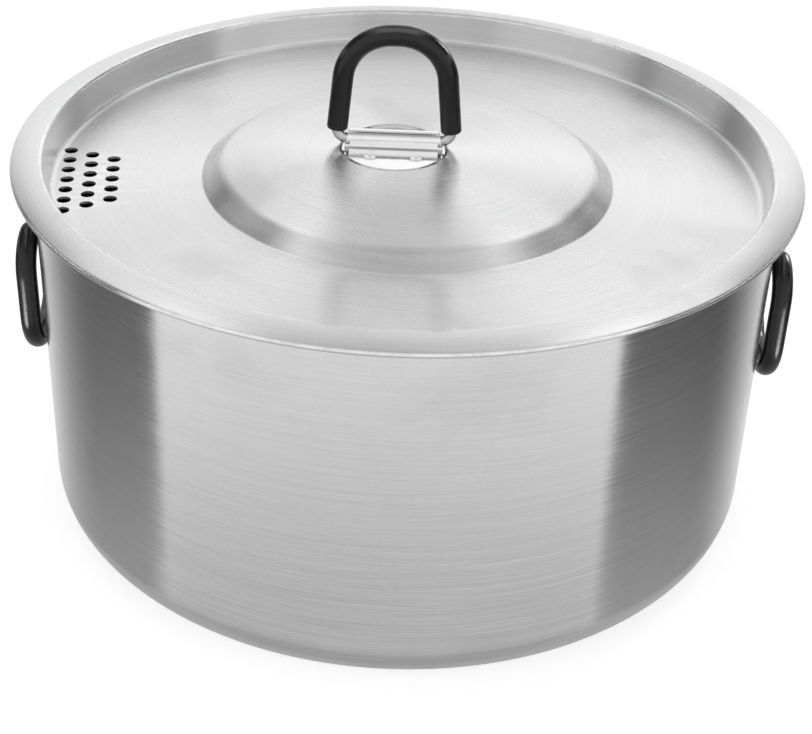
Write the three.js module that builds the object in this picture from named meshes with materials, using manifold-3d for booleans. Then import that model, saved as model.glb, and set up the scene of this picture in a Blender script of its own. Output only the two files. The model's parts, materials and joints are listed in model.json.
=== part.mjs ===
// Camping pot with a strainer lid and folding wire handles, in millimetres, +Z up.
// The base stands on z = 0, the pot's axis is Z and the side handles lie on -X and +X.
import * as THREE from 'three';
import { mergeVertices } from 'three/addons/utils/BufferGeometryUtils.js';
import Module from 'manifold-3d';

const wasm = await Module();
wasm.setup();

// Pot
const POT_INNER_DIAMETER = 200;
const POT_WALL = 0.8;
const POT_HEIGHT = 104;
const POT_CORNER_RADIUS = 11;
const POT_CURL_RADIUS = 1.5;
const POT_CURL_SWEEP = 250;

// Lid: a tray sunk into the pot's mouth, hung on a flange with a rolled edge
const LID_OVERHANG = 3.3;
const LID_SHEET = 0.7;
const LID_SEAT_GAP = 0.3;
const LID_MOUTH_GAP = 1.5;
const TRAY_DEPTH = 9.8;
const TRAY_DRAFT = 1;
const TRAY_FOOT_RADIUS = 2;
const TRAY_LIP_RADIUS = 1.2;
const FLANGE_FLAT = 1.6;
const FLANGE_SLOPE = 20;
const LID_CURL_RADIUS = 0.9;
const LID_CURL_SWEEP = 210;

// Dome in the tray, with a shallow recess for the lid handle's clip
const DOME_RADIUS = 56.2;
const DOME_HEIGHT = 8;
const DOME_FOOT_RADIUS = 1;
const SHOULDER_WIDTH = 5.3;
const SHOULDER_HEIGHT = 4.3;
const CROWN_MARGIN = 5;
const RECESS_RADIUS = 14.5;
const RECESS_DEPTH = 1;
const RECESS_WALL_RUN = 0.6;
const RECESS_SHIFT = -4.2;

// Strainer holes: straight rows across one side of the tray, one hole fewer in each inner row
const HOLE_DIAMETER = 3.7;
const HOLE_PITCH = 6;
const HOLE_ROW_STEP = 6;
const HOLE_ROW_COUNTS = [7, 6, 5];
const HOLE_EDGE_DISTANCE = 4.5;
const HOLE_AZIMUTH = 187;

// Wire and sleeve, alike on all three handles
const WIRE_DIAMETER = 3;
const WIRE_END_GAP = 0.6;
const SLEEVE_DIAMETER = 5.7;
const SLEEVE_BORE_CLEARANCE = 0.3;

// Clips: hat-shaped saddles over the straight part of each wire
const CLIP_SHEET = 0.7;
const CLIP_SEAT_GAP = 0.3;
const CLIP_WIRE_CLEARANCE = 0.3;
const WELD_DENT_DIAMETER = 3;
const WELD_DENT_DEPTH = 0.35;

// Lid handle
const LID_PIVOT_BACK = 1.5;
const LID_PIVOT_CLEARANCE = 0.3;
const LID_HANDLE_HEIGHT = 29.6;
const LID_HANDLE_FOOT_SPAN = 31.5;
const LID_HANDLE_LEAN = 5.5;
const LID_HANDLE_ELBOW_RADIUS = 2.5;
const LID_HANDLE_ARCH_RADIUS = 13.2;
const LID_SLEEVE_FOOT = 2.7;
const LID_CLIP_FLANGE_WIDTH = 24;
const LID_CLIP_HUMP_FOOT_WIDTH = 27.6;
const LID_CLIP_HUMP_TOP_WIDTH = 24.2;
const LID_CLIP_REAR_FLANGE = 3;
const LID_CLIP_EDGE_GAP = 0.3;
const LID_WELD_SPACING = 12.4;
const LID_WELD_FROM_PIVOT = 8.5;

// Side handles
const HANDLE_PIVOT_HEIGHT = 76.5;
const HANDLE_DROP = 34;
const HANDLE_SPAN = 31;
const HANDLE_SHOULDER_RADIUS = 9;
const HANDLE_CORNER_RADIUS = 11.5;
const HANDLE_WALL_GAP = 0.4;
const HANDLE_CLIP_WIDTH = 11;
const HANDLE_CLIP_FLANGE = 6.5;
const HANDLE_CLIP_END_GAP = 0.5;
const HANDLE_WELD_SPACING = 5.6;

// Facets
const TURN_FACETS = 48;
const HOLE_FACETS = 10;
const WIRE_FACETS = 8;
const SLEEVE_FACETS = 12;
const BEND_FACETS = 4;
const CURL_FACETS = 6;
const HUMP_FACETS = 8;
const DENT_FACETS = 8;

// Slack for cuts and for joining points
const CUT_OVERSHOOT = 1;
const JOIN_DISTANCE = 1e-4;

// Derived sizes
const potInnerRadius = POT_INNER_DIAMETER / 2;
const potOuterRadius = potInnerRadius + POT_WALL;
const potRimRadius = potInnerRadius + 2 * POT_CURL_RADIUS;
const lidRadius = potRimRadius + LID_OVERHANG;
const wireRadius = WIRE_DIAMETER / 2;
const sleeveRadius = SLEEVE_DIAMETER / 2;
const humpBore = wireRadius + CLIP_WIRE_CLEARANCE;
const humpRadius = humpBore + CLIP_SHEET;
const radians = THREE.MathUtils.degToRad;

const steel = new THREE.MeshStandardMaterial({ color: 0xc9cbcc, roughness: 0.32, metalness: 1 });
const brightSteel = new THREE.MeshStandardMaterial({ color: 0xd9dadb, roughness: 0.2, metalness: 1 });
const blackSleeve = new THREE.MeshStandardMaterial({ color: 0x1d1d1f, roughness: 0.45, metalness: 0 });

function namedMesh(name, geometry, material) {
  const mesh = new THREE.Mesh(geometry, material);
  mesh.name = name;
  return mesh;
}

// Solids for cuts
function toSolid(geometry) {
  const bare = geometry.clone();
  bare.deleteAttribute('normal');
  bare.deleteAttribute('uv');
  const merged = mergeVertices(bare, JOIN_DISTANCE);
  return new wasm.Manifold(new wasm.Mesh({
    numProp: 3,
    vertProperties: new Float32Array(merged.attributes.position.array),
    triVerts: new Uint32Array(merged.index.array),
  }));
}

function toGeometry(solid) {
  const { vertProperties, triVerts } = solid.getMesh();
  const geometry = new THREE.BufferGeometry();
  geometry.setAttribute('position', new THREE.BufferAttribute(vertProperties, 3));
  geometry.setIndex(new THREE.BufferAttribute(triVerts, 1));
  return geometry;
}

// Moves every point of a geometry by a rule that edits it in place.
function reshape(geometry, rule) {
  const position = geometry.attributes.position;
  const point = new THREE.Vector3();
  for (let i = 0; i < position.count; i += 1) {
    rule(point.fromBufferAttribute(position, i));
    position.setXYZ(i, point.x, point.y, point.z);
  }
  return geometry;
}

// A point of a bent path: where its straight runs would meet, and the radius of the bend there.
function bend(x, y, radius = 0) {
  return { corner: new THREE.Vector2(x, y), radius };
}

// Points along straight runs joined by round bends.
function bentPath(bends) {
  return bends.flatMap(({ corner, radius }, i) => {
    if (radius === 0) return [corner.clone()];
    const back = bends[i - 1].corner.clone().sub(corner).normalize();
    const ahead = bends[i + 1].corner.clone().sub(corner).normalize();
    const half = Math.acos(back.dot(ahead)) / 2;
    const start = back.clone().multiplyScalar(radius / Math.tan(half)).add(corner);
    const centre = back.clone().add(ahead).setLength(radius / Math.sin(half)).add(corner);
    const turn = -Math.sign(back.cross(ahead)) * (Math.PI - 2 * half);
    return Array.from({ length: BEND_FACETS + 1 }, (_, step) => (
      start.clone().rotateAround(centre, (turn * step) / BEND_FACETS)));
  });
}

// Points on an arc, from one angle to another in degrees.
function arc(centreX, centreY, radius, from, to, facets) {
  return Array.from({ length: facets + 1 }, (_, step) => {
    const angle = radians(from + ((to - from) * step) / facets);
    return new THREE.Vector2(centreX + radius * Math.cos(angle), centreY + radius * Math.sin(angle));
  });
}

// A turned sheet: its shown face runs from the axis outwards, with the thickness to the right.
function turnedSheet(face, thickness) {
  const heading = (from, to) => to.clone().sub(from).normalize();
  const back = face.map((point, i) => {
    const into = heading(face[Math.max(i - 1, 0)], face[Math.max(i, 1)]);
    const onward = heading(face[Math.min(i, face.length - 2)], face[Math.min(i + 1, face.length - 1)]);
    const along = into.clone().add(onward).normalize();
    const reach = thickness / along.dot(into);
    return new THREE.Vector2(point.x + along.y * reach, point.y - along.x * reach);
  });
  const outline = [...back, ...face.toReversed()];
  return new THREE.LatheGeometry(outline, TURN_FACETS).rotateX(Math.PI / 2);
}

// A path with one extrusion step from each of its points to the next.
class PointPath extends THREE.Curve {
  constructor(points) {
    super();
    this.points = points;
  }

  getPointAt(u, target = new THREE.Vector3()) {
    return target.copy(this.points[Math.round(u * (this.points.length - 1))]);
  }

  getTangentAt(u, target = new THREE.Vector3()) {
    const last = this.points.length - 1;
    const i = Math.round(u * last);
    const ahead = this.points[Math.min(i + 1, last)];
    return target.copy(ahead).sub(this.points[Math.max(i - 1, 0)]).normalize();
  }
}

function ring(radius, facets) {
  return arc(0, 0, radius, 0, 360, facets).slice(0, -1);
}

function rodAlong(points, radius, facets, bore = 0) {
  const section = new THREE.Shape(ring(radius, facets));
  if (bore > 0) section.holes.push(new THREE.Path(ring(bore, facets).reverse()));
  return new THREE.ExtrudeGeometry(section, { steps: points.length - 1, extrudePath: new PointPath(points) });
}

function wireAlong(points) {
  return rodAlong(points, wireRadius, WIRE_FACETS);
}

function sleeveAlong(points) {
  return rodAlong(points, sleeveRadius, SLEEVE_FACETS, wireRadius + SLEEVE_BORE_CLEARANCE);
}

// Hat section of a clip: flanges at height 0 and a hump over an axis at the given height.
function saddleSection(axisHeight, frontFlange, rearFlange) {
  return new THREE.Shape([
    new THREE.Vector2(-humpRadius - frontFlange, 0),
    new THREE.Vector2(-humpBore, 0),
    ...arc(0, axisHeight, humpBore, 180, 0, HUMP_FACETS),
    new THREE.Vector2(humpBore, 0),
    new THREE.Vector2(humpRadius + rearFlange, 0),
    new THREE.Vector2(humpRadius + rearFlange, CLIP_SHEET),
    new THREE.Vector2(humpRadius, CLIP_SHEET),
    ...arc(0, axisHeight, humpRadius, 0, 180, HUMP_FACETS),
    new THREE.Vector2(-humpRadius, CLIP_SHEET),
    new THREE.Vector2(-humpRadius - frontFlange, CLIP_SHEET),
  ]);
}

// A ball that leaves a round dent of the set diameter and depth around a point of a face.
function weldDent(x, y, z, outward) {
  const radius = ((WELD_DENT_DIAMETER / 2) ** 2 + WELD_DENT_DEPTH ** 2) / (2 * WELD_DENT_DEPTH);
  const centre = outward.clone().setLength(radius - WELD_DENT_DEPTH).add(new THREE.Vector3(x, y, z));
  const ball = new THREE.SphereGeometry(radius, 2 * DENT_FACETS, DENT_FACETS);
  return toSolid(ball.translate(centre.x, centre.y, centre.z));
}

function potBody() {
  const curlX = potInnerRadius + POT_CURL_RADIUS;
  const curlZ = POT_HEIGHT - POT_CURL_RADIUS;
  const inside = [
    ...bentPath([
      bend(0, POT_WALL),
      bend(potInnerRadius, POT_WALL, POT_CORNER_RADIUS - POT_WALL),
      bend(potInnerRadius, curlZ - POT_CURL_RADIUS),
    ]),
    ...arc(curlX, curlZ, POT_CURL_RADIUS, 180, 180 - POT_CURL_SWEEP, CURL_FACETS),
  ];
  return turnedSheet(inside, POT_WALL);
}

// The lid's heights, measured from the pot's rim
const trayTopRadius = potInnerRadius - LID_MOUTH_GAP - LID_SHEET;
const trayFootRadius = trayTopRadius - TRAY_DRAFT;
const flangeStart = trayTopRadius + FLANGE_FLAT;
const flangeEnd = lidRadius - LID_CURL_RADIUS * (1 - Math.sin(radians(FLANGE_SLOPE)));
const flangeBend = (flangeEnd - flangeStart) / Math.sin(radians(FLANGE_SLOPE));
const seatRun = Math.max(potInnerRadius + POT_CURL_RADIUS - flangeStart, 0);
const seatDrop = flangeBend - Math.sqrt(flangeBend ** 2 - seatRun ** 2);
const flangeTop = LID_SEAT_GAP + LID_SHEET + seatDrop;
const trayFloor = flangeTop - TRAY_DEPTH;
const crown = trayFloor + DOME_HEIGHT;
const recessFloor = crown - RECESS_DEPTH;
const shoulderRadius = DOME_RADIUS - SHOULDER_WIDTH;
const shoulderTop = trayFloor + SHOULDER_HEIGHT;
const recessEdge = RECESS_RADIUS + RECESS_WALL_RUN / 2;
const recessFloorRadius = RECESS_RADIUS - RECESS_WALL_RUN / 2;
const crownEdge = recessEdge + CROWN_MARGIN;
const crownRun = shoulderRadius - crownEdge;
const crownDrop = crown - shoulderTop;
const crownBend = (crownRun ** 2 + crownDrop ** 2) / (2 * crownDrop);
const crownFall = THREE.MathUtils.radToDeg(Math.asin(crownRun / crownBend));

function strainerHoles() {
  const holeRadius = HOLE_DIAMETER / 2;
  const drillLength = LID_SHEET + 2 * CUT_OVERSHOOT;
  return HOLE_ROW_COUNTS.flatMap((count, row) => {
    const distance = trayFootRadius - HOLE_EDGE_DISTANCE - row * HOLE_ROW_STEP;
    return Array.from({ length: count }, (_, i) => {
      const along = (i - (count - 1) / 2) * HOLE_PITCH;
      const drill = new THREE.CylinderGeometry(holeRadius, holeRadius, drillLength, HOLE_FACETS);
      drill.rotateX(Math.PI / 2).translate(distance, along, trayFloor - LID_SHEET / 2);
      return toSolid(drill.rotateZ(radians(HOLE_AZIMUTH)));
    });
  });
}

function lidShell() {
  const curlTilt = 90 - FLANGE_SLOPE;
  const slope = radians(FLANGE_SLOPE);
  const curlZ = flangeTop - flangeBend * (1 - Math.cos(slope)) - LID_CURL_RADIUS * Math.cos(slope);
  const top = [
    ...bentPath([
      bend(0, recessFloor),
      bend(recessFloorRadius, recessFloor),
      bend(recessEdge, crown),
    ]),
    ...arc(crownEdge, crown - crownBend, crownBend, 90, 90 - crownFall, BEND_FACETS).slice(0, -1),
    ...bentPath([
      bend(shoulderRadius, shoulderTop),
      bend(DOME_RADIUS, trayFloor, DOME_FOOT_RADIUS),
      bend(trayFootRadius, trayFloor, TRAY_FOOT_RADIUS),
      bend(trayTopRadius, flangeTop, TRAY_LIP_RADIUS),
      bend(flangeStart, flangeTop),
    ]),
    ...arc(flangeStart, flangeTop - flangeBend, flangeBend, 90, curlTilt, BEND_FACETS).slice(1),
    ...arc(lidRadius - LID_CURL_RADIUS, curlZ, LID_CURL_RADIUS, curlTilt,
      curlTilt - LID_CURL_SWEEP, CURL_FACETS).slice(1),
  ];
  const sheet = reshape(turnedSheet(top, LID_SHEET), (point) => {
    const radius = Math.hypot(point.x, point.y);
    point.x += RECESS_SHIFT * (1 - THREE.MathUtils.smoothstep(radius, recessEdge, shoulderRadius));
  });
  return toGeometry(toSolid(sheet).subtract(wasm.Manifold.union(strainerHoles())));
}

// Lid handle, about its own pivot: X along the pivot, Z up the upright loop
const lidPivotRise = LID_PIVOT_CLEARANCE + wireRadius;
const lidClipBase = recessFloor + CLIP_SEAT_GAP - (crown + lidPivotRise);

function lidHandlePath() {
  const foot = LID_HANDLE_FOOT_SPAN / 2;
  const archCorner = foot - LID_HANDLE_HEIGHT * Math.tan(radians(LID_HANDLE_LEAN));
  const flat = bentPath([
    bend(WIRE_END_GAP / 2, 0),
    bend(foot, 0, LID_HANDLE_ELBOW_RADIUS),
    bend(archCorner, LID_HANDLE_HEIGHT, LID_HANDLE_ARCH_RADIUS),
    bend(-archCorner, LID_HANDLE_HEIGHT, LID_HANDLE_ARCH_RADIUS),
    bend(-foot, 0, LID_HANDLE_ELBOW_RADIUS),
    bend(-WIRE_END_GAP / 2, 0),
  ]);
  return flat.map(({ x, y }) => new THREE.Vector3(x, 0, y));
}

// The loop's stretch above the sleeve's feet, cut square to the pivot's height.
function lidSleevePath() {
  const lean = Math.tan(radians(LID_HANDLE_LEAN));
  const foot = new THREE.Vector3(LID_HANDLE_FOOT_SPAN / 2 - LID_SLEEVE_FOOT * lean, 0, LID_SLEEVE_FOOT);
  const above = lidHandlePath().filter(({ z }) => z > LID_SLEEVE_FOOT + sleeveRadius);
  return [foot, ...above, new THREE.Vector3(-foot.x, 0, foot.z)];
}

function lidHandleClip() {
  const axisHeight = -lidClipBase;
  const humpTop = axisHeight + humpRadius;
  const reach = recessFloorRadius - LID_CLIP_EDGE_GAP;
  const section = saddleSection(axisHeight, reach + LID_PIVOT_BACK, LID_CLIP_REAR_FLANGE);
  const blank = new THREE.ExtrudeGeometry(section, { depth: LID_CLIP_FLANGE_WIDTH, bevelEnabled: false });
  const shaped = reshape(blank, (point) => {
    const onHump = Math.abs(point.x) < humpRadius + CLIP_SHEET / 2;
    const rise = point.y / humpTop;
    const humpWidth = THREE.MathUtils.lerp(LID_CLIP_HUMP_FOOT_WIDTH, LID_CLIP_HUMP_TOP_WIDTH, rise);
    const width = onHump ? humpWidth : LID_CLIP_FLANGE_WIDTH;
    const along = point.z - LID_CLIP_FLANGE_WIDTH / 2;
    point.set((along * width) / LID_CLIP_FLANGE_WIDTH, point.x, point.y + lidClipBase);
  });
  const disc = new THREE.CylinderGeometry(reach, reach, 2 * (humpTop + CUT_OVERSHOOT), TURN_FACETS);
  disc.rotateX(Math.PI / 2).translate(0, -LID_PIVOT_BACK, 0);
  const up = new THREE.Vector3(0, 0, 1);
  const dents = [-1, 1].map((side) => (
    weldDent((side * LID_WELD_SPACING) / 2, -LID_WELD_FROM_PIVOT, lidClipBase + CLIP_SHEET, up)));
  return toGeometry(toSolid(shaped).intersect(toSolid(disc)).subtract(wasm.Manifold.union(dents)));
}

// Side handles, made for +X; the other side is turned half round
const handleX = potOuterRadius + HANDLE_WALL_GAP + sleeveRadius;
const clipFaceRadius = potOuterRadius + CLIP_SEAT_GAP;

// The loop hangs in an upright plane, from a distance along its pivot down, round and up again.
function sideHandlePath(start) {
  const half = HANDLE_SPAN / 2;
  const bottom = HANDLE_PIVOT_HEIGHT - HANDLE_DROP;
  const flat = bentPath([
    bend(start, HANDLE_PIVOT_HEIGHT),
    bend(half, HANDLE_PIVOT_HEIGHT, HANDLE_SHOULDER_RADIUS),
    bend(half, bottom, HANDLE_CORNER_RADIUS),
    bend(-half, bottom, HANDLE_CORNER_RADIUS),
    bend(-half, HANDLE_PIVOT_HEIGHT, HANDLE_SHOULDER_RADIUS),
    bend(-start, HANDLE_PIVOT_HEIGHT),
  ]);
  return flat.map(({ x, y }) => new THREE.Vector3(handleX, x, y));
}

function sideHandleClip() {
  const axisHeight = handleX - clipFaceRadius;
  const section = saddleSection(axisHeight, HANDLE_CLIP_FLANGE, HANDLE_CLIP_FLANGE);
  const blank = new THREE.ExtrudeGeometry(section, {
    depth: HANDLE_CLIP_WIDTH,
    steps: BEND_FACETS,
    bevelEnabled: false,
  });
  const bentFeet = reshape(blank, (point) => {
    const along = point.z - HANDLE_CLIP_WIDTH / 2;
    const onWall = point.y < (CLIP_SHEET + axisHeight) / 2;
    const hollow = onWall ? clipFaceRadius - Math.sqrt(clipFaceRadius ** 2 - along ** 2) : 0;
    point.set(clipFaceRadius + point.y - hollow, along, HANDLE_PIVOT_HEIGHT + point.x);
  });
  const outward = new THREE.Vector3(1, 0, 0);
  const dents = [-1, 1].flatMap((side) => [-1, 1].map((level) => {
    const along = (side * HANDLE_WELD_SPACING) / 2;
    const face = Math.sqrt(clipFaceRadius ** 2 - along ** 2) + CLIP_SHEET;
    const flangeMiddle = level * (humpRadius + HANDLE_CLIP_FLANGE / 2);
    return weldDent(face, along, HANDLE_PIVOT_HEIGHT + flangeMiddle, outward);
  }));
  return toGeometry(toSolid(bentFeet).subtract(wasm.Manifold.union(dents)));
}

function lid() {
  const handle = new THREE.Group();
  handle.position.set(RECESS_SHIFT, LID_PIVOT_BACK, crown + lidPivotRise);
  handle.add(
    namedMesh('lid_handle_clip', lidHandleClip(), brightSteel),
    namedMesh('lid_handle_wire', wireAlong(lidHandlePath()), brightSteel),
    namedMesh('lid_handle_sleeve', sleeveAlong(lidSleevePath()), blackSleeve),
  );
  const group = new THREE.Group();
  group.position.z = POT_HEIGHT;
  group.add(namedMesh('lid_shell', lidShell(), steel), handle);
  return group;
}

function sideHandle(side, turn) {
  const sleeveStart = HANDLE_CLIP_WIDTH / 2 + HANDLE_CLIP_END_GAP;
  const group = new THREE.Group();
  group.rotation.z = turn;
  group.add(
    namedMesh(`${side}_handle_clip`, sideHandleClip(), brightSteel),
    namedMesh(`${side}_handle_wire`, wireAlong(sideHandlePath(WIRE_END_GAP / 2)), brightSteel),
    namedMesh(`${side}_handle_sleeve`, sleeveAlong(sideHandlePath(sleeveStart)), blackSleeve),
  );
  return group;
}

const pot = new THREE.Group();
pot.add(
  namedMesh('pot_body', potBody(), steel),
  sideHandle('left', Math.PI),
  sideHandle('right', 0),
  lid(),
);

export default pot;
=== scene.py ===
"""Dresses the camping pot: fine sheet, wire and sleeves on the CAD frame, steel finishes and a studio."""

import json
import math

import bmesh
import bpy
from bpy.props import FloatProperty, FloatVectorProperty, PointerProperty
from mathutils import Matrix, Vector


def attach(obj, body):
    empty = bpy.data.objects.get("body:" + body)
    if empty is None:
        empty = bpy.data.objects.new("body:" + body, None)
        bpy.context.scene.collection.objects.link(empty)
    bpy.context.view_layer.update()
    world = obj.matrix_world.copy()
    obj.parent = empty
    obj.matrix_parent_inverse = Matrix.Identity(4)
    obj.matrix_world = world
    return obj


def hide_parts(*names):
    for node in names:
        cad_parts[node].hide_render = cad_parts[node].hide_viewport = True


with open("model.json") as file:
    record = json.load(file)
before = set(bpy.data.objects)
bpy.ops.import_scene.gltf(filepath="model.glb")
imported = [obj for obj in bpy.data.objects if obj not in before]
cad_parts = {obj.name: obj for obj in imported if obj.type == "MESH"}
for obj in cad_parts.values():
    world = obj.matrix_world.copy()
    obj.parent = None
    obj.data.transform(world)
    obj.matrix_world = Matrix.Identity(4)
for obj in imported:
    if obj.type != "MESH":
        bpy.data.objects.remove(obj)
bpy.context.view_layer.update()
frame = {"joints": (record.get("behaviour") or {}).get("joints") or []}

bl_info = {
    "name": "Camping Pot",
    "version": (1, 0, 0),
    "blender": (4, 5, 0),
    "location": "3D View > Sidebar > Camping Pot",
    "description": "Builds a steel camping pot with a strainer lid and folding wire handles",
    "category": "Add Mesh",
}

MM = 0.001

# How finely round shapes are cut
TURN_FACETS = 256
BEND_FACETS = 14
CURL_FACETS = 22
WIRE_FACETS = 24
SLEEVE_FACETS = 40
CLIP_FACETS = 72
FLANGE_ROWS = 40
HOLE_FACETS = 40
RING_SPACING = 0.6 * MM
HOLD_MARGIN = 0.6 * MM
SMALLEST_FACET = 0.1 * MM
SHARP_EDGE = math.radians(38)

# A weld dent is flat within the first share of its radius and ends at the second
DENT_FLOOR = 0.35
DENT_RIM = 1.1

# Half width of the lid clip's tip, as a share of its reach
CLIP_TIP = 0.05

# Strainer holes in each row, outermost first
HOLE_ROWS = (7, 6, 5)

# The side handles with their direction along X, and all handles
SIDES = {"left": -1, "right": 1}
HANDLES = ("lid", *SIDES)

# Brushed sheet: distance between lines, how often a line breaks off, strength of the grain
POT_BRUSH = (0.28 * MM, 2.6, 0.14)
LID_BRUSH = (0.32 * MM, 2.0, 0.04)
BRUSH_DEPTH = 0.0045 * MM
BRUSH_TURN = 0.25

# Size of each surface's fine grain, and its depth where it can be felt
BRUSHED_GRAIN = 0.5 * MM
CLIP_GRAIN = 3 * MM
WIRE_GRAIN = 1.2 * MM
BRIGHT_DEPTH = 0.01 * MM
SLEEVE_GRAIN = 0.5 * MM
SLEEVE_DEPTH = 0.03 * MM
SLEEVE_SPECULAR = 0.4

# Size of hand marks on each surface, and of worn patches along edges
BRUSHED_MARKS = 28 * MM
BRIGHT_MARKS = 9 * MM
SLEEVE_MARKS = 12 * MM
WEAR_PATCH = 4 * MM

# Hairline scratches: how they are turned, and how closely they lie along each axis
SCRATCH_TURN = (0.5, 0.3, 0.8)
SCRATCH_SCALE = (2600, 110, 110)

# Front of the lid's recess, where painted shade darkens it, and soft edge of the drawn wall
RECESS_PAINTED_SHADE_FRONT = (2 * MM, 5 * MM)
WALL_EDGE = 0.15 * MM

# Floor and camera
FLOOR_REACH = 3.0
FLOOR_SQUARES = 8
FLOOR_ROUGHNESS = 0.9
FLOOR_GLOW = 0.52
SENSOR_WIDTH = 36

# Edges of the studio's panels, in degrees round the pot from the front, to the right and to the left
FRONT_RIGHT, FRONT_LEFT = (69, 70), (79, 80)
BACK_RIGHT, BACK_LEFT = (110, 172), (107, 165)

# Heights in degrees between which the panels, the gaps beside them and the floor fade
FRONT_FOOT, FRONT_TOP = (-32, -12), (30, 50)
GAP_FOOT, GAP_TOP = (-12, 0), (46, 58)
BACK_TOP = (33, 46)
OVERHEAD = (52, 66)
FLOOR_LINE = (-44, -28)
BACKDROP_WHITE = 1.2

# Patches of light and dark: from, to and softness round the pot, the same in height, and strength
PATCHES = {
    "right strip": ((62, 130, 6), (10, 15, 2), 2.2),
    "left strip": ((-120, -86, 6), (10, 15, 2), 2.2),
    "right dark wedge": ((122, 151, 7), (8, 36, 6), -0.4),
    "left dark wedge": ((-151, -122, 7), (8, 36, 6), -0.33),
    "right softbox": ((130, 145, 4), (42, 66, 5), 1.7),
    "left softbox": ((-145, -130, 4), (42, 66, 5), 1.3),
}

# Light cards for the sleeves: name, place, what it faces, side and brightness
LID_HANDLE_TOP = (0, 0, 0.13)
SLEEVE_CARDS = (
    ("card_above", (0, -0.05, 0.55), LID_HANDLE_TOP, 0.4, 2.2),
    ("card_right", (0.58, 0.49, 0.37), LID_HANDLE_TOP, 0.2, 14),
    ("card_left_floor", (-0.16, -0.085, 0.002), (-0.16, -0.085, 1), 0.05, 12),
    ("card_right_floor", (0.16, -0.085, 0.002), (0.16, -0.085, 1), 0.05, 12),
)


def length(name, description, millimetres):
    """A size, given in millimetres and shown in the scene's units."""
    return FloatProperty(
        name=name, description=description, default=millimetres * MM, unit="LENGTH", precision=5
    )


def angle(name, description, degrees):
    return FloatProperty(name=name, description=description, default=math.radians(degrees), subtype="ANGLE")


def share(name, description, default):
    return FloatProperty(
        name=name, description=description, default=default, min=0, max=1, subtype="FACTOR"
    )


def colour(name, description, default):
    return FloatVectorProperty(
        name=name, description=description, default=default, size=3, min=0, max=1, subtype="COLOR"
    )


class PotSizes(bpy.types.PropertyGroup):
    """The vessel."""

    inner_diameter: length("Inner Diameter", "Across the inside of the wall", 200)
    sheet: length("Sheet", "Thickness of the wall and base", 0.8)
    height: length("Height", "From the base to the top of the rim", 104)
    corner_radius: length("Corner Radius", "Outside of the bend between wall and base", 11)
    curl_radius: length("Rim Curl Radius", "Outside of the rolled rim", 1.5)
    curl_sweep: angle("Rim Curl Sweep", "How far the rim is rolled", 250)


class LidSizes(bpy.types.PropertyGroup):
    """The pressed lid and its strainer holes."""

    overhang: length("Overhang", "The lid's edge beyond the pot's rim", 3.3)
    sheet: length("Sheet", "Thickness of the lid", 0.7)
    seat_gap: length("Seat Gap", "Between the rim and the lid", 0.3)
    mouth_gap: length("Mouth Gap", "Between the pot's wall and the tray", 1.5)
    tray_depth: length("Tray Depth", "From the flange down to the tray's floor", 9.8)
    tray_draft: length("Tray Draft", "How far the tray's wall leans in", 1)
    tray_foot_radius: length("Tray Foot Radius", "Bend between floor and tray wall", 2)
    tray_lip_radius: length("Tray Lip Radius", "Bend between tray wall and flange", 1.2)
    flange_flat: length("Flange Flat", "Level part of the flange", 1.6)
    flange_slope: angle("Flange Slope", "Fall of the flange at its edge", 20)
    curl_radius: length("Edge Curl Radius", "Outside of the rolled edge", 0.9)
    curl_sweep: angle("Edge Curl Sweep", "How far the edge is rolled", 210)
    dome_radius: length("Dome Radius", "At the dome's foot", 56.2)
    dome_height: length("Dome Height", "Above the tray's floor", 8)
    dome_foot_radius: length("Dome Foot Radius", "Bend between dome and floor", 1)
    shoulder_width: length("Shoulder Width", "Sloping edge of the dome, seen from above", 5.3)
    shoulder_height: length("Shoulder Height", "Sloping edge of the dome, seen from the side", 4.3)
    shoulder_bend: length("Shoulder Bend", "Bend between crown and shoulder", 6)
    crown_margin: length("Crown Margin", "Level ring around the recess", 5)
    recess_radius: length("Recess Radius", "Middle of the recess wall", 14.5)
    recess_depth: length("Recess Depth", "Below the dome's crown", 1)
    recess_run: length("Recess Wall Run", "Width of the recess wall, seen from above", 0.6)
    recess_bend: length("Recess Bend", "Bends of the recess wall", 0.45)
    recess_shift: length("Recess Shift", "The recess from the lid's axis, along X", -4.2)
    hole_diameter: length("Hole Diameter", "Of one strainer hole", 3.7)
    hole_pitch: length("Hole Pitch", "From hole to hole along a row", 6)
    hole_row_step: length("Hole Row Step", "From row to row", 6)
    hole_edge: length("Hole Edge", "From the tray's foot to the first row", 4.5)
    hole_azimuth: angle("Hole Azimuth", "Middle of the strainer holes", 187)


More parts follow.
